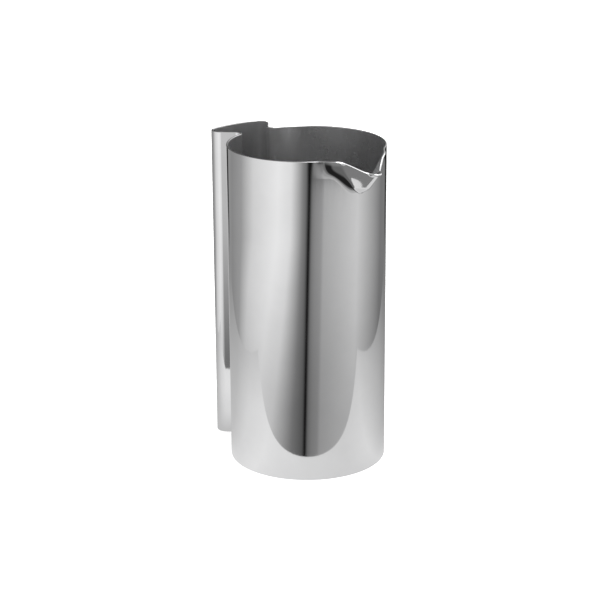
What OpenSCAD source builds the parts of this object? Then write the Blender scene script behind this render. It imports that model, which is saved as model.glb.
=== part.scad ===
// Cylindrical water pitcher in polished sheet metal.
// The round body opens into a hollow dovetail handle that runs from the table to the rim,
// and a V-shaped beak is drawn out of the rim on the opposite side.
// Origin: centre of the round body on the table. +Z up, +X towards the spout.

/* [Body] */
// Outside diameter of the round body
body_d = 102; // [94:1:116]
// Height from the table to the rim
body_h = 210; // [160:1:260]
// Thickness of the sheet metal
sheet_t = 1.2; // [0.8:0.1:1.6]
// Thickness of the bottom plate
base_t = 1.5; // [1:0.1:3]

/* [Handle] */
// How far the hollow handle stands out behind the body
handle_reach = 24.5; // [23:0.1:28]
// Outside width of the handle's neck, where it leaves the body
neck_w = 25.8; // [22:0.2:30]
// Angle between each side of the handle and its centre line, in degrees
handle_flare = 43; // [38:1:46]
// Outside radius of the bends at the neck
neck_bend_r = 3.5; // [3:0.5:5]
// Outside radius of the bends at the handle's two outer edges
edge_bend_r = 7.5; // [5:0.5:8]

/* [Spout] */
// Width of the spout along the rim
spout_w = 49.4; // [44:0.2:54]
// How far the pouring lip stands out in front of the body
spout_reach = 17; // [13:0.5:18]
// How far the pouring lip lies below the rim
spout_dip = 9; // [6:0.5:10]
// Depth of the beak's lowest point below the rim
spout_depth = 23; // [20:0.5:28]

/* [Seams] */
// Width of the welded joint between the handle and the body
seam_w = 1; // [0.6:0.1:2]
// How far the welds stand proud on the inside
bead_h = 0.4; // [0.2:0.1:0.8]

/* [Hidden] */
$fn = 96;

body_r = body_d / 2;
handle_r = body_r + handle_reach;

// Plan of one side of the handle, drawn along +X and mirrored to -X when it is used.
// along runs with the side wall, inward points from the wall towards the hollow.
along = [cos(handle_flare), sin(handle_flare)];
inward = [sin(handle_flare), -cos(handle_flare)];
neck_centre_y = neck_w / 2 + neck_bend_r;
neck_centre = [sqrt(pow(body_r + neck_bend_r, 2) - pow(neck_centre_y, 2)), neck_centre_y];
wall_offset = neck_centre * inward + neck_bend_r;
edge_offset = wall_offset + edge_bend_r;
edge_centre = edge_offset * inward + sqrt(pow(handle_r - edge_bend_r, 2) - pow(edge_offset, 2)) * along;
// The weld runs down the straight wall, this far from the end of the neck bend
seam_from_neck = 2.5;
seam_middle = neck_centre + neck_bend_r * inward + seam_from_neck * along;
// The bends overlap the walls that they join by this much, so that each pair crosses cleanly
overlap = 0.01;
// Size of the cutters, more than the whole pitcher
far = 150;

// Spout: h is the depth below the rim, y the distance across from the spout's centre line
half_w = spout_w / 2;
patch_half_w = half_w + 8.8;
foot_half_w = half_w + 12.3;
spout_columns = 52;
spout_rows = 16;
// The rim is drawn out in two straight runs, steep at its ends and slower towards the beak
swell_end = 0.6;
swell_slope = 0.95;
swell_blend = 4;
wing_span = 8.1;
wing_slope = 0.47;
wing_blend = 2;
// Faint shoulder that leads into the swelling
shoulder_out = 0.35;
shoulder_from = 8.3;
shoulder_w = 10;
// The swelling fades downwards, sooner at the spout's ends
wing_rise = 12;
wing_rise_from = 6;
wing_rise_over = 16;
wing_fade = 2;
// Beak: its keel's slope and steep foot, the roundness of the keel and the slopes of its two faces
keel_slope = 0.87;
keel_foot_slope = 2.6;
keel_foot_blend = 5;
keel_round = 1.6;
face_slope_top = 1.3;
face_slope_more = 0.35;
face_from = 8;
face_over = 14;
crease = 1;
// Straight pouring lip that ends the beak
lip_over_keel = 1.1;
lip_half_w = 4.2;
lip_round = 2;
lip_side_slope = 4;
lip_under_slope = 3;

function mirrored(p, side) = [-p[0], side * p[1]];
function clamp01(v) = max(0, min(1, v));
function smooth_step(v) = let (c = clamp01(v)) c * c * (3 - 2 * c);
function smooth_max(a, b, k) = let (m = max(k - abs(a - b), 0) / k) max(a, b) + k * m * m / 4;
function smooth_min(a, b, k) = -smooth_max(-a, -b, k);
function body_x(y) = sqrt(body_r * body_r - y * y);
function rim_dip(y) = spout_dip * pow(max(0, 1 - pow(y / half_w, 2)), 3);
function foot_depth(y) = (spout_depth + 1) * sqrt(1 - pow(y / foot_half_w, 2));
function rim_swell(y) =
    let (steep = swell_slope * (half_w + swell_end - abs(y)),
         slow = wing_slope * (half_w + wing_span - abs(y)))
    smooth_max(0, smooth_min(steep, slow, wing_blend), swell_blend)
    + shoulder_out * smooth_step((half_w + shoulder_from - abs(y)) / shoulder_w);
function wing_depth(y) = spout_depth - wing_rise * smooth_step((abs(y) - wing_rise_from) / wing_rise_over);
function wing(y, h) = rim_swell(y) * pow(clamp01(1 - h / wing_depth(y)), wing_fade);
function keel_out(h) =
    smooth_min(spout_reach - lip_over_keel + keel_slope * (spout_dip - h),
               keel_foot_slope * (spout_depth - h), keel_foot_blend);
function face_slope(h) = face_slope_top + face_slope_more * pow(clamp01((h - face_from) / face_over), 2);
function ridge(y) = sqrt(y * y + keel_round * keel_round) - keel_round;
function beak(y, h) = body_r + keel_out(h) - face_slope(h) * ridge(y) - body_x(y);
function past_lip(y) = let (u = abs(y) - lip_half_w) (u + sqrt(u * u + lip_round * lip_round)) / 2;
function lip(y, h) =
    body_r + spout_reach - lip_side_slope * (past_lip(y) - past_lip(0)) - lip_under_slope * (h - rim_dip(y))
    - body_x(y);
function spout_out(y, h) = smooth_max(smooth_max(wing(y, h), beak(y, h), crease), lip(y, h), crease);
function spout_point(y, h) = [body_x(y) + spout_out(y, h), y, body_h - h];

// Point of the inner surface: one sheet thickness behind the outer one, square to it
function spout_normal(y, h) =
    let (d = 0.02,
         across = spout_point(y + d, h) - spout_point(y - d, h),
         down = spout_point(y, h + d) - spout_point(y, h - d),
         n = cross(down, across))
    n / norm(n);
function spout_inner(y, h) = spout_point(y, h) - sheet_t * spout_normal(y, h);

// Columns stand closer together at the beak than at the ends
function column_y(i) =
    let (u = 2 * i / spout_columns - 1) sign(u) * pow(abs(u), 1.5) * patch_half_w;
function row_depth(y, j) = foot_depth(y) + (rim_dip(y) - foot_depth(y)) * j / spout_rows;

module on_spout_side() {
    rotate([90, 0, 90]) linear_extrude(height = far) children();
}

// Area inside the pitcher's plan outline, moved inwards by inset
module plan(inset) {
    circle(r = body_r - inset);
    for (side = [-1, 1])
        translate(mirrored(edge_centre, side)) circle(r = edge_bend_r - inset + overlap);
    intersection() {
        circle(r = handle_r - inset);
        polygon([for (k = [[1, 1], [1.5, 1], [1.5, -1], [1, -1]]) k[0] * mirrored(edge_centre, k[1])]);
    }
    difference() {
        polygon(concat([[0, 0]], neck_side(inset, 1), [for (i = [3:-1:0]) neck_side(inset, -1)[i]]));
        for (side = [-1, 1])
            translate(mirrored(neck_centre, side)) circle(r = neck_bend_r + inset + overlap);
    }
}

// Corners of one side of the handle: neck bend's centre, both ends of the straight wall, edge bend's centre
function neck_side(inset, side) = [
    mirrored(neck_centre, side),
    mirrored(neck_centre + (neck_bend_r + inset) * inward, side),
    mirrored(edge_centre - (edge_bend_r - inset) * inward, side),
    mirrored(edge_centre, side)
];

module wall_plan(extra = 0) {
    difference() {
        plan(0);
        plan(sheet_t + extra);
    }
}

// Everything on the handle's side of the two welds, moved outwards by shift
module handle_zone(shift) {
    polygon(concat(zone_side(shift, 1), [for (i = [2:-1:0]) zone_side(shift, -1)[i]]));
}

function zone_side(shift, side) =
    let (middle = seam_middle + shift * along)
    [mirrored(middle + 12 * inward, side), mirrored(middle - 12 * inward, side), mirrored([far, far], side)];

module spout_notch() {
    ys = [for (i = [0:spout_columns]) column_y(i)];
    on_spout_side()
        polygon(concat([for (y = ys) [y, body_h - foot_depth(y)]],
                       [[patch_half_w, body_h + 1], [-patch_half_w, body_h + 1]]));
}

module body_shell() {
    color("silver")
        difference() {
            linear_extrude(height = body_h)
                difference() {
                    wall_plan();
                    handle_zone(-seam_w / 2);
                }
            spout_notch();
        }
}

module spout() {
    n = spout_rows + 1;
    count = (spout_columns + 1) * n;
    outer = [for (i = [0:spout_columns]) let (y = column_y(i)) for (j = [0:spout_rows])
        spout_point(y, row_depth(y, j))];
    inner = [for (i = [0:spout_columns]) let (y = column_y(i)) for (j = [0:spout_rows])
        spout_inner(y, row_depth(y, j))];
    skins = [for (i = [0:spout_columns - 1]) for (j = [0:spout_rows - 1])
        let (a = i * n + j, b = a + 1, c = a + n, d = c + 1)
        each [[a, b, d], [a, d, c], [count + a, count + d, count + b], [count + a, count + c, count + d]]];
    rims = [for (i = [0:spout_columns - 1]) for (j = [0, spout_rows])
        let (a = i * n + j, c = a + n)
        each j == 0 ? [[a, c, count + c], [a, count + c, count + a]]
                    : [[a, count + c, c], [a, count + a, count + c]]];
    ends = [for (i = [0, spout_columns]) for (j = [0:spout_rows - 1])
        let (a = i * n + j, b = a + 1)
        each i == 0 ? [[a, count + b, b], [a, count + a, count + b]]
                    : [[a, b, count + b], [a, count + b, count + a]]];
    color("gainsboro") polyhedron(points = concat(outer, inner), faces = concat(skins, rims, ends));
}

module handle_shell() {
    color("lightgray")
        linear_extrude(height = body_h)
            intersection() {
                wall_plan();
                handle_zone(seam_w / 2);
            }
}

module base_plate() {
    color("darkgray") linear_extrude(height = base_t) plan(sheet_t);
}

// Weld down one side of the neck: flush outside, a low bead inside above the bottom seam
module handle_seam(side) {
    color("dimgray")
        difference() {
            linear_extrude(height = body_h) seam_strip(side, seam_w, 0, sheet_t + bead_h);
            translate([0, 0, -1])
                linear_extrude(height = base_t + seam_w + 1) seam_strip(side, 2 * seam_w, sheet_t, 2 * sheet_t + bead_h);
        }
}

// Plan of one weld, between two depths under the wall's outer surface
module seam_strip(side, width, near, deep) {
    polygon([for (c = [[-0.5, near], [0.5, near], [0.5, deep], [-0.5, deep]])
        mirrored(seam_middle + c[0] * width * along + c[1] * inward, side)]);
}

module handle_seam_left() {
    handle_seam(-1);
}

module handle_seam_right() {
    handle_seam(1);
}

// Filler round the inside of the wall, on top of the bottom plate
module base_seam() {
    color("dimgray")
        translate([0, 0, base_t])
            linear_extrude(height = seam_w)
                difference() {
                    plan(sheet_t);
                    plan(sheet_t + seam_w);
                }
}

body_shell();
spout();
handle_shell();
base_plate();
handle_seam_left();
handle_seam_right();
base_seam();
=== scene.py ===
"""Looks of the polished sheet-metal water pitcher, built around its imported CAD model.

Sizes are in mm until Mesh makes them metres. +Z is up, and the spout points along +X.
"""

import math

import bpy
import numpy as np
from mathutils import Matrix, Vector


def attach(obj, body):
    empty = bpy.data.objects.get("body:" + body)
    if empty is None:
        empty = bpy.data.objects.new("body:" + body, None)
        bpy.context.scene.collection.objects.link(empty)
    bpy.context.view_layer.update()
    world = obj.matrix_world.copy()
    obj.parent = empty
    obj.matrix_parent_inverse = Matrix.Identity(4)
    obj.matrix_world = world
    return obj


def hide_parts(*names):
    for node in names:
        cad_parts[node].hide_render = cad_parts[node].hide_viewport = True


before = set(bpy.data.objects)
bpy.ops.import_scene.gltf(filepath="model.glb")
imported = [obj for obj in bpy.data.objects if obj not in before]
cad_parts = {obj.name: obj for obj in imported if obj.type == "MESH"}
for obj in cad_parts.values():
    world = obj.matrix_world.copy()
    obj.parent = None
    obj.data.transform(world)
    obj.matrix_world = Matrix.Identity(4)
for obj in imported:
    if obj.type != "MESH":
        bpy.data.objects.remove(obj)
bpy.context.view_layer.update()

MM = 0.001

# ---------------------------------------------------------------- sizes, in mm, as in the CAD
BODY_R = 51.0
BODY_H = 210.0
SHEET = 1.2
BASE_T = 1.5
HANDLE_R = BODY_R + 24.5
NECK_W = 25.8
FLARE = math.radians(43)
NECK_BEND_R = 3.5
EDGE_BEND_R = 7.5
SEAM_W = 1.0
SEAM_FROM_NECK = 2.5
# height and ripple of the weld's bead inside
BEAD_H = 0.4
BEAD_RIPPLE = 0.22

SPOUT_REACH = 17.0
SPOUT_DIP = 9.0
SPOUT_DEPTH = 23.0
HALF_W = 24.7
PATCH_HALF_W = HALF_W + 8.8
FOOT_HALF_W = HALF_W + 12.3
SWELL_END = 0.6
SWELL_SLOPE = 0.95
SWELL_BLEND = 4.0
WING_SPAN = 8.1
WING_SLOPE = 0.47
WING_BLEND = 2.0
SHOULDER_OUT = 0.35
SHOULDER_FROM = 8.3
SHOULDER_W = 10.0
WING_RISE = 12.0
WING_RISE_FROM = 6.0
WING_RISE_OVER = 16.0
WING_FADE = 2.0
KEEL_SLOPE = 0.87
KEEL_FOOT_SLOPE = 2.6
KEEL_FOOT_BLEND = 5.0
KEEL_ROUND = 1.6
FACE_SLOPE_TOP = 1.3
FACE_SLOPE_MORE = 0.35
FACE_FROM = 8.0
FACE_OVER = 14.0
CREASE = 1.0
LIP_OVER_KEEL = 1.1
LIP_HALF_W = 4.2
LIP_ROUND = 2.0
LIP_SIDE_SLOPE = 4.0
LIP_UNDER_SLOPE = 3.0

# rounding of the sheet's edges: rim, table edge, and the bottom plate's outline
RIM_ROUND = 0.42
FOOT_ROUND = 0.35
PLATE_ROUND = 0.2

# fineness of the meshes
SPOUT_COLUMNS = 72      # each side of the keel
SPOUT_ROWS = 56
BODY_ROWS = 22
HANDLE_ROWS = 24
WELD_ROWS = 40
WELD_COLUMNS = 9
BEND_STEPS = 25
BODY_STEPS = 150
HANDLE_STEPS = 60
EDGE_STEPS = 6
SAME_POINT = 1e-6
SAME_NORMAL = 1e-3
LEVEL = 0.999           # a profile normal past this faces straight in or out

POLISHED, SATIN = 0, 1


# ---------------------------------------------------------------- meshes
class Mesh:
    """Collects quads with their own corner normals, then makes one welded object."""

    def __init__(self, name):
        self.name = name
        self.points = []
        self.index = {}
        self.faces = []
        self.corner_normals = []
        self.materials = []

    def vertex(self, p):
        key = tuple(int(round(c * 1e5)) for c in p)
        if key not in self.index:
            self.index[key] = len(self.points)
            self.points.append([c * MM for c in p])
        return self.index[key]

    def face(self, corners, normals, material):
        ids = [self.vertex(p) for p in corners]
        kept = [k for k in range(len(ids)) if ids[k] != ids[k - 1]]
        if len(kept) < 3:
            return
        if facing(np.asarray([corners[k] for k in kept])) @ np.sum([normals[k] for k in kept], 0) < 0:
            kept.reverse()
        self.faces.append([ids[k] for k in kept])
        self.corner_normals.append([normals[k] for k in kept])
        self.materials.append(material)

    def grid(self, points, normals, material, closed=False):
        """points and normals: arrays [columns, rows, 3]. material is one slot, or one for each row of quads."""
        columns, rows = points.shape[:2]
        for i in range(columns if closed else columns - 1):
            k = (i + 1) % columns
            for j in range(rows - 1):
                m = material if isinstance(material, int) else material[j]
                cs = [(i, j), (k, j), (k, j + 1), (i, j + 1)]
                self.face([points[c] for c in cs], [normals[c] for c in cs], m)

    def flat(self, loop, normal, material):
        self.face(list(loop), [normal] * len(loop), material)

    def build(self, materials):
        me = bpy.data.meshes.new(self.name)
        me.from_pydata(self.points, [], self.faces)
        for m in materials:
            me.materials.append(m)
        me.polygons.foreach_set("material_index", self.materials)
        me.polygons.foreach_set("use_smooth", [True] * len(self.faces))
        me.update()
        self.mark_sharp(me)
        normals = [tuple(n) for face in self.corner_normals for n in face]
        me.normals_split_custom_set(normals)
        ob = bpy.data.objects.new(self.name, me)
        bpy.context.scene.collection.objects.link(ob)
        return ob

    def mark_sharp(self, me):
        """Edges are sharp where the two faces beside them disagree about a corner's normal."""
        seen = {}
        for ids, normals in zip(self.faces, self.corner_normals):
            for k, v in enumerate(ids):
                w = ids[k - 1]
                pair = (normals[k], normals[k - 1]) if v < w else (normals[k - 1], normals[k])
                seen.setdefault((min(v, w), max(v, w)), []).append(np.concatenate(pair))
        for edge in me.edges:
            sides = seen[tuple(sorted(edge.vertices))]
            edge.use_edge_sharp = len(sides) != 2 or np.abs(sides[0] - sides[1]).max() > SAME_NORMAL

    def end_cap(self, loop, second, third, far_end):
        """Closes the end of a wall. Its normal comes from the loop's first corner and two others."""
        n = unit(np.cross(loop[second] - loop[0], loop[third] - loop[0]))
        self.flat(loop[::-1] if far_end else loop, -n if far_end else n, SATIN)


def facing(loop):
    """Direction that a face's corners run round, by the right-hand rule."""
    return np.cross(loop, np.roll(loop, -1, 0)).sum(0)


def unit(v):
    v = np.asarray(v, float)
    return v / np.linalg.norm(v, axis=-1, keepdims=True)


# ---------------------------------------------------------------- plan of the wall
along = np.array([math.cos(FLARE), math.sin(FLARE)])
inward = np.array([math.sin(FLARE), -math.cos(FLARE)])
neck_y = NECK_W / 2 + NECK_BEND_R
neck_centre = np.array([math.sqrt((BODY_R + NECK_BEND_R) ** 2 - neck_y ** 2), neck_y])
wall_offset = neck_centre @ inward + NECK_BEND_R
edge_offset = wall_offset + EDGE_BEND_R
edge_centre = edge_offset * inward + math.sqrt((HANDLE_R - EDGE_BEND_R) ** 2 - edge_offset ** 2) * along
wall_length = (edge_centre - neck_centre) @ along
neck_angle = math.atan2(neck_centre[1], neck_centre[0])
edge_angle = math.atan2(edge_centre[1], edge_centre[0])


def mirrored(p, side):
    return np.array([-p[0], side * p[1]])


def arc(centre, radius, start, end, count, outwards):
    """Points and outward normals along an arc, drawn in the +X, +Y quarter."""
    made = []
    for a in np.linspace(start, end, count):
        d = np.array([math.cos(a), math.sin(a)])
        made.append((centre + radius * d, d * outwards))
    return made


def straight(start, end, count=2):
    return [(neck_centre + NECK_BEND_R * inward + s * along, -inward) for s in np.linspace(start, end, count)]


def place(stations, side):
    return [(mirrored(p, side), mirrored(n, side)) for p, n in stations]


def joined(*runs):
    """One run of stations without doubled ends."""
    out = []
    for run in runs:
        for p, n in run:
            if not out or np.linalg.norm(out[-1][0] - p) > SAME_POINT:
                out.append((p, n))
    return out


# angle from the neck's centre to the body's centre, and to the straight wall
bend_start = neck_angle + math.pi
bend_end = math.atan2(inward[1], inward[0]) + 2 * math.pi
neck_bend = arc(neck_centre, NECK_BEND_R, bend_start, bend_end, BEND_STEPS, -1)
edge_bend = arc(edge_centre, EDGE_BEND_R, math.atan2(-inward[1], -inward[0]), edge_angle, BEND_STEPS, 1)


def column_ys():
    """The spout's columns, closer together at the keel."""
    u = np.linspace(-1, 1, 2 * SPOUT_COLUMNS + 1)
    return np.sign(u) * np.abs(u) ** 1.35 * PATCH_HALF_W


def radial(radius, angle):
    """Station on a circle round the pitcher's axis."""
    d = np.array([math.cos(angle), math.sin(angle)])
    return radius * d, d


ys = column_ys()
patch_angle = math.asin(PATCH_HALF_W / BODY_R)


def body_side(side):
    """The body's arc from the neck to the edge of the spout patch."""
    angles = np.linspace(math.pi - neck_angle, patch_angle, BODY_STEPS)
    return [radial(BODY_R, side * a) for a in angles]


front_points = [np.array([math.sqrt(BODY_R ** 2 - y * y), y]) for y in ys[::-1]]
front = [(p, p / BODY_R) for p in front_points]
seam_start = SEAM_FROM_NECK - SEAM_W / 2
seam_end = SEAM_FROM_NECK + SEAM_W / 2
left_run = joined(place(straight(seam_start, 0), 1), place(neck_bend[::-1], 1), body_side(1))
right_run = [(p * [1, -1], n * [1, -1]) for p, n in left_run[::-1]]


# ---------------------------------------------------------------- spout surface
def clamp01(v):
    return np.clip(v, 0, 1)


def smooth_step(v):
    c = clamp01(v)
    return c * c * (3 - 2 * c)


def smooth_max(a, b, k):
    m = np.maximum(k - np.abs(a - b), 0) / k
    return np.maximum(a, b) + k * m * m / 4


def smooth_min(a, b, k):
    return -smooth_max(-a, -b, k)


def body_x(y):
    return np.sqrt(BODY_R ** 2 - y * y)


def rim_dip(y):
    return SPOUT_DIP * np.maximum(0, 1 - (y / HALF_W) ** 2) ** 3


def foot_depth(y):
    return (SPOUT_DEPTH + 1) * np.sqrt(1 - (y / FOOT_HALF_W) ** 2)


def rim_swell(y):
    """How far the rim is drawn out: steep at the spout's ends, slower towards the beak."""
    steep = SWELL_SLOPE * (HALF_W + SWELL_END - np.abs(y))
    slow = WING_SLOPE * (HALF_W + WING_SPAN - np.abs(y))
    shoulder = SHOULDER_OUT * smooth_step((HALF_W + SHOULDER_FROM - np.abs(y)) / SHOULDER_W)
    return smooth_max(0, smooth_min(steep, slow, WING_BLEND), SWELL_BLEND) + shoulder


def wing(y, h):
    depth = SPOUT_DEPTH - WING_RISE * smooth_step((np.abs(y) - WING_RISE_FROM) / WING_RISE_OVER)
    return rim_swell(y) * clamp01(1 - h / depth) ** WING_FADE


def beak(y, h):
    keel = smooth_min(SPOUT_REACH - LIP_OVER_KEEL + KEEL_SLOPE * (SPOUT_DIP - h),
                      KEEL_FOOT_SLOPE * (SPOUT_DEPTH - h), KEEL_FOOT_BLEND)
    face = FACE_SLOPE_TOP + FACE_SLOPE_MORE * clamp01((h - FACE_FROM) / FACE_OVER) ** 2
    return BODY_R + keel - face * (np.sqrt(y * y + KEEL_ROUND ** 2) - KEEL_ROUND) - body_x(y)


def past_lip(y):
    u = np.abs(y) - LIP_HALF_W
    return (u + np.sqrt(u * u + LIP_ROUND ** 2)) / 2


def lip(y, h):
    return (BODY_R + SPOUT_REACH - LIP_SIDE_SLOPE * (past_lip(y) - past_lip(0))
            - LIP_UNDER_SLOPE * (h - rim_dip(y)) - body_x(y))


def spout_point(y, h):
    out = smooth_max(smooth_max(wing(y, h), beak(y, h), CREASE), lip(y, h), CREASE)
    return np.stack([body_x(y) + out, y, BODY_H - h], -1)


def spout_normal(y, h, d=0.01):
    across = spout_point(y + d, h) - spout_point(y - d, h)
    down = spout_point(y, h + d) - spout_point(y, h - d)
    return unit(np.cross(down, across))


# ---------------------------------------------------------------- wall profile
# A profile point is (depth under the surface, height, outward part of the normal, upward part of the normal).
def quarter(depth0, z0, radius, start, end, count=EDGE_STEPS):
    """Rounded edge about (depth0, z0). Angle 0 faces out of the pitcher, 90 degrees faces up."""
    made = []
    for a in np.radians(np.linspace(start, end, count)):
        made.append((depth0 - radius * math.cos(a), z0 + radius * math.sin(a), math.cos(a), math.sin(a)))
    return made


def wall_profile(bottom, top, rows, foot=True, rim=True):
    """Open loop from the inside foot, under the bottom edge, up the outside, over the rim and down the inside."""
    r, b = RIM_ROUND, FOOT_ROUND
    low = bottom + b if foot else bottom
    high = top - r if rim else top
    zs = np.linspace(low, high, rows)
    prof = []
    if foot:
        prof += quarter(SHEET - b, bottom + b, b, 180, 270)
        prof += quarter(b, bottom + b, b, 270, 360)
    prof += [(0, z, 1, 0) for z in zs]
    if rim:
        prof += quarter(r, top - r, r, 0, 90)
        prof += quarter(SHEET - r, top - r, r, 90, 180)
    prof += [(SHEET, z, -1, 0) for z in zs[::-1]]
    clean = [prof[0]]
    for q in prof[1:]:
        if abs(q[0] - clean[-1][0]) + abs(q[1] - clean[-1][1]) > SAME_POINT:
            clean.append(q)
    return clean


def carried(profile, stations):
    """Points and normals of a profile at each station."""
    pts = np.array([[[*(p - d * n), z] for d, z, _, _ in profile] for p, n in stations])
    nrm = np.array([[[*(a * n), b] for _, _, a, b in profile] for p, n in stations])
    return pts, nrm


def first_again(rows):
    """Repeats the first point of each loop at its end."""
    return np.concatenate([rows, rows[:, :1]], 1)


def row_slots(profile, closed):
    """Satin between two profile points that face straight in, polished elsewhere."""
    ring = profile + profile[:1] if closed else profile
    return [SATIN if a[2] < -LEVEL and b[2] < -LEVEL else POLISHED for a, b in zip(ring[:-1], ring[1:])]


def sweep(mesh, stations, profile):
    """Carries a closed profile along the stations and closes both ends."""
    pts, nrm = carried(profile, stations)
    mesh.grid(first_again(pts), first_again(nrm), row_slots(profile, True))
    for k in (0, -1):
        mesh.end_cap(pts[k], 1, len(profile) // 2, k == -1)


# ---------------------------------------------------------------- materials
class Graph:
    """Small helper that wires shader nodes."""

    def __init__(self, tree):
        tree.nodes.clear()
        self.nodes, self.links = tree.nodes, tree.links

    def add(self, kind, inputs=None, **settings):
        node = self.nodes.new("ShaderNode" + kind)
        for k, v in settings.items():
            setattr(node, k, v)
        for k, v in (inputs or {}).items():
            socket = node.inputs[k]
            if isinstance(v, bpy.types.NodeSocket):
                self.links.new(v, socket)
            else:
                socket.default_value = v
        return node

    def math(self, op, a, b=0.0, c=0.0):
        return self.add("Math", {0: a, 1: b, 2: c}, operation=op).outputs[0]

    def times(self, a, b):
        return self.math("MULTIPLY", a, b)

    def plus(self, a, b):
        return self.math("ADD", a, b)

    def minus(self, a, b):
        return self.math("SUBTRACT", a, b)

    def rest(self, a):
        """What is left of 1."""
        return self.minus(1.0, a)

    def mix(self, a, b, share):
        """a, and b in its place where share is 1."""
        return self.plus(self.times(a, self.rest(share)), self.times(share, b))

    def smooth(self, value, low, high):
        return self.add("MapRange", {"Value": value, "From Min": low, "From Max": high, "To Min": 0.0, "To Max": 1.0},
                        interpolation_type="SMOOTHSTEP").outputs[0]

    def ramp(self, value, stops):
        node = self.add("ValToRGB", {"Fac": value})
        elements = node.color_ramp.elements
        while len(elements) > 1:
            elements.remove(elements[-1])
        elements[0].position = stops[0][0]
        elements[0].color = grey(stops[0][1])
        for pos, level in stops[1:]:
            elements.new(pos).color = grey(level)
        return node.outputs["Color"]


def grey(level):
    return (*level, 1.0) if isinstance(level, (tuple, list)) else (level, level, level, 1.0)


def metal(name, dark, light, rough_low, rough_high, grain, streak, bump, bump_scale):
    """Bare metal: tone and roughness drift with soft smudges, fine streaks run the way grain stretches them."""
    mat = bpy.data.materials.new(name)
    mat.use_nodes = True
    g = Graph(mat.node_tree)
    coords = g.add("TexCoord").outputs["Object"]
    smudge = g.add("TexNoise", {"Vector": coords, "Scale": 34.0, "Detail": 4.0, "Roughness": 0.55})
    stretched = g.add("Mapping", {"Vector": coords, "Scale": grain})
    lines = g.add("TexNoise", {"Vector": stretched.outputs[0], "Scale": streak, "Detail": 5.0, "Roughness": 0.65})
    both = g.math("MULTIPLY_ADD", lines.outputs[0], 0.6, g.math("MULTIPLY", smudge.outputs[0], 0.4))
    rough = g.add("MapRange", {"Value": both, "From Min": 0.32, "From Max": 0.68,
                               "To Min": rough_low, "To Max": rough_high})
    tone = g.ramp(smudge.outputs[0], [(0.25, dark), (0.75, light)])
    relief = g.add("Bump", {"Strength": bump, "Distance": bump_scale, "Height": lines.outputs[0]})
    shader = g.add("BsdfPrincipled", {"Base Color": tone, "Metallic": 1.0, "Roughness": rough.outputs[0],
                                      "Normal": relief.outputs[0]})
    out = g.add("OutputMaterial")
    g.links.new(shader.outputs[0], out.inputs[0])
    return mat


polished = metal("polished_metal", (0.84, 0.84, 0.845), (0.90, 0.90, 0.905), 0.025, 0.07,
                 (1, 1, 0.06), 900.0, 0.02, 0.00001)
satin = metal("satin_inside", (0.76, 0.76, 0.765), (0.84, 0.84, 0.845), 0.25, 0.35,
              (1, 1, 8.0), 300.0, 0.08, 0.00001)
floor_satin = metal("satin_floor", (0.40, 0.40, 0.405), (0.50, 0.50, 0.505), 0.22, 0.36,
                    (1, 1, 1), 500.0, 0.2, 0.00003)
weld_metal = metal("weld_metal", (0.42, 0.42, 0.43), (0.55, 0.55, 0.56), 0.2, 0.42,
                   (1, 1, 0.6), 900.0, 0.5, 0.00006)
WALL = [polished, satin]

# ---------------------------------------------------------------- body wall
SPLIT_Z = BODY_H - float(foot_depth(PATCH_HALF_W))      # height where the spout patch's straight sides begin
body = Mesh("body_wall")
all_stations = joined(left_run, front, right_run)


def body_lower():
    """Whole wall up to the patch, cut along the patch's curved foot in front."""
    pts, nrm = [], []
    for p, n in all_stations:
        in_front = p[0] > 0 and abs(p[1]) < PATCH_HALF_W - 1e-9
        top = BODY_H - float(foot_depth(p[1])) if in_front else SPLIT_Z
        prof = wall_profile(0, top, BODY_ROWS, rim=False)
        pts.append([[*(p - d * n), z] for d, z, _, _ in prof])
        nrm.append([[*(a * n), b] for _, _, a, b in prof])
    pts, nrm = np.array(pts), np.array(nrm)
    # the profile runs: rounded foot, outside rows, inside rows
    outside = pts.shape[1] - BODY_ROWS
    body.grid(pts[:, :outside], nrm[:, :outside], POLISHED)
    inside = np.concatenate([pts[:, outside:], pts[:, :1]], 1)
    inside_n = np.concatenate([nrm[:, outside:], nrm[:, :1]], 1)
    body.grid(inside, inside_n, SATIN)
    # edge under the spout piece
    idx = [k for k, (p, n) in enumerate(all_stations) if p[0] > 0 and abs(p[1]) <= PATCH_HALF_W + 1e-9]
    for a, b in zip(idx[:-1], idx[1:]):
        quad = [pts[a, outside - 1], pts[b, outside - 1], pts[b, outside], pts[a, outside]]
        body.flat(quad, (0, 0, 1), SATIN)
    # ends at the welds
    for k in (0, -1):
        body.end_cap(pts[k], outside - BODY_ROWS + 1, outside, k == -1)


def body_upper():
    """Wall beside the patch, up to the rounded rim."""
    prof = wall_profile(SPLIT_Z, BODY_H, 4, foot=False)
    for run in (left_run, right_run):
        pts, nrm = carried(prof, run)
        body.grid(pts, nrm, row_slots(prof, False))
        for k in (0, -1):
            body.end_cap(pts[k], 1, -1, k == -1)


body_lower()
body_upper()
body_ob = body.build(WALL)

# ---------------------------------------------------------------- handle
handle = Mesh("handle_channel")
outer_half = [radial(HANDLE_R, a) for a in np.linspace(edge_angle, -edge_angle, HANDLE_STEPS)]
one_side = straight(seam_end, wall_length, 3) + edge_bend
handle_run = joined(place(one_side, 1), place(outer_half, 1), place(one_side, -1)[::-1])
sweep(handle, handle_run, wall_profile(0, BODY_H, HANDLE_ROWS))
handle_ob = handle.build(WALL)


# ---------------------------------------------------------------- welds down the neck: flush outside, low bead inside
def bead_share(z):
    """Height of the bead along the weld: rippled, and none at the plate and at the rim."""
    ripple = 1 + BEAD_RIPPLE * math.sin(z * 2.6 + 0.7 * math.sin(z * 0.9))
    return ripple * smooth_step(z - BASE_T - SEAM_W) * smooth_step(BODY_H - RIM_ROUND - z)


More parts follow.
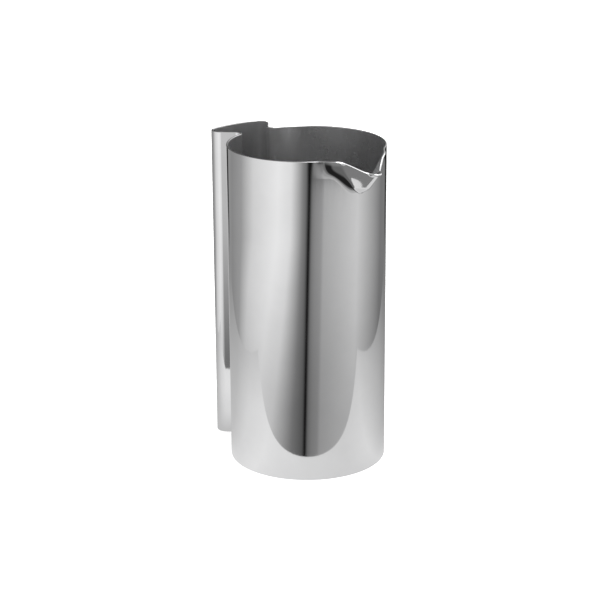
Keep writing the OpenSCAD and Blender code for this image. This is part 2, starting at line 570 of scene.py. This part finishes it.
def weld(name, side):
    mesh = Mesh(name)
    prof = wall_profile(0, BODY_H, WELD_ROWS)
    pts, nrm = [], []
    for s in np.linspace(seam_start, seam_end, WELD_COLUMNS)[::side]:
        p, n = place(straight(s, s, 1), side)[0]
        bulge = BEAD_H * math.sqrt(max(0.0, 1 - ((s - SEAM_FROM_NECK) / (SEAM_W / 2)) ** 2))
        deep = [d + (bulge * bead_share(z) if a < -LEVEL else 0) for d, z, a, _ in prof]
        pts.append([[*(p - d * n), q[1]] for d, q in zip(deep, prof)])
        nrm.append([[*(a * n), b] for _, _, a, b in prof])
    pts = first_again(np.array(pts, float))
    nrm = first_again(np.array(nrm, float))
    # normals of the bead from its own shape
    own = unit(np.cross(np.gradient(pts, axis=0), np.gradient(pts, axis=1)) + 1e-12)
    inner = np.array([q[2] < -LEVEL for q in prof + prof[:1]])
    flip = np.sign((own * nrm).sum(-1, keepdims=True))
    nrm = np.where(inner[None, :, None], own * flip, nrm)
    mesh.grid(pts, nrm, row_slots(prof, True))
    for k in (0, -1):
        mesh.end_cap(pts[k, :-1], 1, len(prof) // 2, k == -1)
    return mesh.build([polished, weld_metal])


weld_left = weld("weld_left", -1)
weld_right = weld("weld_right", 1)


# ---------------------------------------------------------------- spout
def spout_mesh():
    mesh = Mesh("spout_beak")
    # rows crowd towards the rim
    rows = 1 - (1 - np.linspace(0, 1, SPOUT_ROWS)) ** 1.15
    y = np.repeat(ys[:, None], SPOUT_ROWS, 1)
    h = foot_depth(y) + (rim_dip(y) - foot_depth(y)) * rows[None, :]
    outer = spout_point(y, h)
    outer_n = spout_normal(y, h)
    inner = outer - SHEET * outer_n
    # rounded rim between the two
    edge_out, edge_in = outer[:, -1], inner[:, -1]
    across = unit(edge_in - edge_out)
    gap = np.linalg.norm(edge_in - edge_out, axis=-1, keepdims=True)
    down_out = unit(outer[:, -2] - edge_out)
    down_in = unit(inner[:, -2] - edge_in)
    r = np.minimum(RIM_ROUND, gap * 0.42)
    rim = []
    for corner, a, b in ((edge_out, down_out, across), (edge_in, -across, down_in)):
        for t in np.linspace(0, 1, EDGE_STEPS):
            rim.append((1 - t) ** 2 * (corner + r * a) + 2 * t * (1 - t) * corner + t * t * (corner + r * b))
    rim = np.stack(rim, 1)
    # last surface rows sit where the rounding begins
    outer[:, -1] = rim[:, 0]
    inner[:, -1] = rim[:, -1]
    grid = np.concatenate([outer, rim[:, 1:-1], inner[:, ::-1]], 1)
    normals = unit(np.cross(np.gradient(grid, axis=0), np.gradient(grid, axis=1)))
    sample = (len(ys) // 4, SPOUT_ROWS // 2)
    if normals[sample] @ outer_n[sample] < 0:
        normals = -normals
    normals[:, :SPOUT_ROWS] = outer_n
    normals[:, -SPOUT_ROWS:] = -outer_n[:, ::-1]
    slots = [POLISHED] * (SPOUT_ROWS - 1 + rim.shape[1] - 1) + [SATIN] * (SPOUT_ROWS - 1)
    mesh.grid(grid, normals, slots)
    # hidden edges: along the foot and down both ends
    for i in range(len(ys) - 1):
        mesh.flat([grid[i, -1], grid[i + 1, -1], grid[i + 1, 0], grid[i, 0]], (0, 0, -1), SATIN)
    mesh.flat(grid[0][::-1], np.array([0, -1.0, 0]), SATIN)
    mesh.flat(grid[-1], np.array([0, 1.0, 0]), SATIN)
    return mesh.build(WALL)


spout_ob = spout_mesh()


# ---------------------------------------------------------------- bottom plate and its filler
# outline of the pitcher seen from above, once round
ring = joined(left_run, front, right_run, place(straight(seam_start, seam_end), -1),
              handle_run[::-1], place(straight(seam_end, seam_start), 1))[:-1]


def bottom_plate():
    mesh = Mesh("bottom_plate")
    r = PLATE_ROUND
    pts, nrm = carried(quarter(SHEET + r, r, r, 270, 360, 4) + quarter(SHEET + r, BASE_T - r, r, 0, 90, 4), ring)
    mesh.grid(pts, nrm, 0, closed=True)
    mesh.flat(pts[:, -1], (0, 0, 1), 0)
    mesh.flat(pts[::-1, 0], (0, 0, -1), 1)
    return mesh.build([floor_satin, satin])


def bottom_filler():
    """Concave fillet of filler between plate and wall."""
    mesh = Mesh("bottom_fillet")
    r = SEAM_W
    prof = []
    for a in np.radians(np.linspace(0, 90, 8)):
        # concave arc about the free corner
        prof.append((SHEET + r - r * math.cos(a), BASE_T + r - r * math.sin(a), -math.cos(a), math.sin(a)))
    prof += [(SHEET, BASE_T, 0, -1)]
    pts, nrm = carried(prof, ring)
    mesh.grid(pts, nrm, 0, closed=True)
    towards_wall = nrm[:, 0] * [-1, -1, 1]
    mesh.grid(pts[:, [-1, 0]], np.stack([towards_wall, towards_wall], 1), 0, closed=True)
    return mesh.build([weld_metal])


plate_ob = bottom_plate()
filler_ob = bottom_filler()

for ob, node, slot in ((body_ob, "body_shell", "polished"), (spout_ob, "spout", "polished"),
                       (handle_ob, "handle_shell", "polished"), (plate_ob, "base_plate", "satin"),
                       (weld_left, "handle_seam_left", "weld"), (weld_right, "handle_seam_right", "weld"),
                       (filler_ob, "base_seam", "weld")):
    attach(ob, "root")
    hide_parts(node)

# ---------------------------------------------------------------- camera, at the photograph's angle
FACING = math.radians(41)          # the camera stands this far clockwise from the spout's direction
CAMERA_AT = Vector((0.8593, -0.7532, 0.4758))
CAMERA_AIM = Vector((-0.0031, -0.0035, 0.1053))
CAMERA_ROLL = math.radians(-0.326)

cam_data = bpy.data.cameras.new("camera")
cam_data.sensor_width = 36
cam_data.lens = 110.58
cam_data.clip_start, cam_data.clip_end = 0.01, 20
cam = bpy.data.objects.new("camera", cam_data)
bpy.context.scene.collection.objects.link(cam)
back = (CAMERA_AT - CAMERA_AIM).normalized()
right = Vector((0, 0, 1)).cross(back).normalized()
up = back.cross(right)
rolled_right = math.cos(CAMERA_ROLL) * right + math.sin(CAMERA_ROLL) * up
rolled_up = -math.sin(CAMERA_ROLL) * right + math.cos(CAMERA_ROLL) * up
cam.matrix_world = Matrix.Translation(CAMERA_AT) @ Matrix((rolled_right, rolled_up, back)).transposed().to_4x4()
bpy.context.scene.camera = cam
bpy.context.scene.view_settings.view_transform = "Standard"


# ---------------------------------------------------------------- studio
# Angles are in degrees: turn from the camera's direction, + to its right, and height above the horizon.
# Two panels with a narrow dark gap between them, which leans a little and is followed down to the floor.
GAP_TURN, GAP_LEVEL, GAP_LEAN = -4.6, -22.0, 1.1
GAP_HALF_W, GAP_DARK = 2.9, 0.95
GAP_LOW, GAP_HIGH = -24.0, -13.0
# strengths of the panels, by the angle from the gap
PANELS = [(-180, 0.35), (-140, 0.27), (-112, 0.35), (-86, 0.7), (-45, 0.9), (-26, 0.8), (-9, 0.24), (-2, 0.13),
          (10, 0.28), (18, 0.33), (22, 0.44), (75, 0.65), (97, 0.46), (130, 0.2)]
SHADE_FROM, SHADE_WIDENS = 16.0, 0.12      # how fast the left panel's shade widens below this angle
FLOOR_DIM = 0.27                           # how much dimmer the panels are towards the floor
STAND_DARK = 0.85                          # dark stand to the camera's right, just above the panels
REAR_GAP_DARK = 0.97                       # second gap between the panels, behind the handle
# floor beyond the sheet, seen steeply: two grey strips in front, one even grey to the left
GROUND, FAR_STRIP, NEAR_STRIP, LEFT_GROUND = 0.015, 0.16, 0.12, 0.2
# soft box overhead, brightest round this turn and straight above
BOX_TURN, BOX_LEVEL, BOX_FALL, BOX_MORE = 80.0, 1.15, 1.05, 4.2
# strengths of the white sheet's glow on the table, by turn, and its size and place: the glow is painted light, and
# the lower strengths behind the pitcher are painted shade
SHEET_SHADES = [(-180, 0.43), (-115, 0.58), (-85, 0.76), (-50, 0.85), (0, 0.72), (40, 0.69), (72, 0.76), (100, 0.6),
                (145, 0.36), (180, 0.43)]
# how much the sheet's painted light falls off away from the pitcher
SHEET_FALL = 0.45
SHEET_HALF_W, SHEET_FRONT, SHEET_BACK = 0.27, 0.091, 1.2
FLOOR_Z, SHEET_Z = -0.0002, -0.0006


def turned(g, x, y):
    """Turn of a direction or place, from -180 to 180 degrees."""
    c, s = math.cos(FACING), math.sin(FACING)
    towards = g.minus(g.times(x, c), g.times(y, s))
    across = g.plus(g.times(x, s), g.times(y, c))
    return g.times(g.math("ARCTAN2", across, towards), 180 / math.pi)


def by_turn(stops):
    """Ramp stops from strengths at angles between -180 and 180 degrees."""
    return [((a + 180) / 360, strength) for a, strength in stops]


def panel_light(g, az, el):
    """The two panels, the gap between them, and the dimming towards the floor."""
    low = g.math("MINIMUM", g.math("MAXIMUM", el, GAP_LOW), GAP_HIGH)
    gap_turn = g.math("MULTIPLY_ADD", g.minus(low, GAP_LEVEL), GAP_LEAN, GAP_TURN)
    beside = g.minus(az, gap_turn)
    narrowing = g.math("EXPONENT", g.times(g.math("MINIMUM", g.plus(low, SHADE_FROM), 0.0), SHADE_WIDENS))
    far_left = g.smooth(g.times(beside, -1.0), 50, 150)
    narrowing = g.plus(g.times(narrowing, g.rest(far_left)), far_left)
    left_of_gap = g.times(g.math("MINIMUM", beside, 0.0), narrowing)
    right_of_gap = g.math("MAXIMUM", beside, 0.0)
    place_on_wall = g.math("MULTIPLY_ADD", g.plus(left_of_gap, right_of_gap), 1 / 360, 0.5)
    square = g.math("POWER", g.math("ABSOLUTE", g.math("DIVIDE", beside, GAP_HALF_W)), 2.0)
    gap = g.math("EXPONENT", g.times(square, -1.0))
    light = g.times(g.ramp(place_on_wall, by_turn(PANELS)), g.rest(g.times(gap, GAP_DARK)))
    dim = g.times(g.smooth(g.times(el, -1.0), 16.0, 22.0), g.smooth(az, -125, -100))
    return g.times(light, g.rest(g.times(dim, FLOOR_DIM)))


def ground_light(g, az, down):
    """Floor beyond the table sheet. down is the angle below the horizon."""
    left = g.smooth(g.times(az, -1.0), 0, 20)
    strips = g.plus(g.times(g.rest(g.smooth(down, 29, 34)), FAR_STRIP), g.times(g.smooth(down, 48, 58), NEAR_STRIP))
    return g.plus(g.plus(g.times(strips, g.rest(left)), g.times(left, LEFT_GROUND)), GROUND)


def studio_world():
    """Soft plain surroundings for the mirror. The camera and diffuse light get an even white."""
    world = bpy.data.worlds.new("studio")
    bpy.context.scene.world = world
    world.use_nodes = True
    g = Graph(world.node_tree)
    direction = g.add("SeparateXYZ", {0: g.add("TexCoord").outputs["Generated"]})
    x, y, z = direction.outputs
    az = turned(g, x, y)
    el = g.times(g.math("ARCSINE", z), 180 / math.pi)
    light = panel_light(g, az, el)
    stand = g.times(g.smooth(el, -14.6, -13.6), g.rest(g.smooth(el, 12, 25)))
    stand = g.times(stand, g.times(g.smooth(az, -1.0, 4.0), g.rest(g.smooth(az, 60, 95))))
    light = g.times(light, g.rest(g.times(stand, STAND_DARK)))
    down = g.times(el, -1.0)
    light = g.mix(light, ground_light(g, az, down), g.smooth(down, 24, 29))
    rear = g.times(g.smooth(g.math("ABSOLUTE", az), 150, 157), g.smooth(el, -19.5, -17.5))
    light = g.times(light, g.rest(g.times(rear, REAR_GAP_DARK)))
    # soft light overhead and behind
    over = g.smooth(el, 8, 30)
    behind = g.times(g.smooth(el, -4, 6), g.smooth(g.math("ABSOLUTE", az), 95, 125))
    top = g.math("MAXIMUM", over, behind)
    off_box = g.math("ABSOLUTE", g.minus(az, BOX_TURN))
    box = g.math("MULTIPLY_ADD", g.smooth(off_box, 50, 115), -BOX_FALL, BOX_LEVEL)
    box = g.times(box, g.math("MULTIPLY_ADD", g.smooth(el, 50, 75), BOX_MORE, 1.0))
    light = g.mix(light, box, top)
    seen = g.add("LightPath")
    plain = g.math("MAXIMUM", seen.outputs["Is Camera Ray"], seen.outputs["Is Diffuse Ray"])
    strength = g.plus(g.times(light, g.rest(plain)), plain)
    shader = g.add("Background", {"Color": (1, 1, 1, 1), "Strength": strength})
    g.links.new(shader.outputs[0], g.add("OutputWorld").inputs[0])


def sheet_object(name, corners, z, material):
    me = bpy.data.meshes.new(name)
    me.from_pydata([(x, y, z) for x, y in corners], [], [list(range(len(corners)))])
    me.materials.append(material)
    ob = bpy.data.objects.new(name, me)
    bpy.context.scene.collection.objects.link(ob)
    return ob


def floor_material():
    mat = bpy.data.materials.new("pale_floor")
    mat.use_nodes = True
    g = Graph(mat.node_tree)
    diffuse = g.add("BsdfDiffuse", {"Color": (0.9, 0.9, 0.9, 1)})
    glow = g.add("Emission", {"Color": (1, 1, 1, 1), "Strength": 0.55})
    both = g.add("AddShader", {0: diffuse.outputs[0], 1: glow.outputs[0]})
    g.links.new(both.outputs[0], g.add("OutputMaterial").inputs[0])
    return mat


def reflected_sheet_material():
    """White table sheet as the metal sees it, drawn as a glow of painted light: its painted shade drifts round the
    pitcher, darkest behind it, and falls with distance.
    """
    mat = bpy.data.materials.new("table_sheet")
    mat.use_nodes = True
    g = Graph(mat.node_tree)
    x, y, _ = g.add("SeparateXYZ", {0: g.add("TexCoord").outputs["Object"]}).outputs
    # painted shade round the pitcher, darkest behind it
    pos = g.math("MULTIPLY_ADD", turned(g, x, y), 1 / 360, 0.5)
    shade = g.ramp(pos, by_turn(SHEET_SHADES))
    dist = g.math("SQRT", g.plus(g.times(x, x), g.times(y, y)))
    fall = g.rest(g.times(g.smooth(dist, 0.08, 0.5), SHEET_FALL))
    # the sheet glows: painted light in place of a lit table
    glow = g.add("Emission", {"Color": (1, 1, 1, 1), "Strength": g.times(shade, fall)})
    g.links.new(glow.outputs[0], g.add("OutputMaterial").inputs[0])
    return mat


def in_studio(across, towards):
    """Point of the floor from its distance to the camera's right and towards the camera."""
    c, s = math.cos(FACING), math.sin(FACING)
    return (towards * c + across * s, -towards * s + across * c)


studio_world()
floor = sheet_object("floor", [(-6, -6), (6, -6), (6, 6), (-6, 6)], FLOOR_Z, floor_material())
floor.visible_glossy = False
# the metal sees this glowing sheet of painted light in place of the floor, and the camera sees only the floor
sheet = sheet_object("table_sheet",
                     [in_studio(-SHEET_HALF_W, SHEET_FRONT), in_studio(SHEET_HALF_W, SHEET_FRONT),
                      in_studio(SHEET_HALF_W, -SHEET_BACK), in_studio(-SHEET_HALF_W, -SHEET_BACK)],
                     SHEET_Z, reflected_sheet_material())
sheet.visible_camera = False
sheet.visible_diffuse = False
sheet.visible_shadow = False
sheet.visible_transmission = False
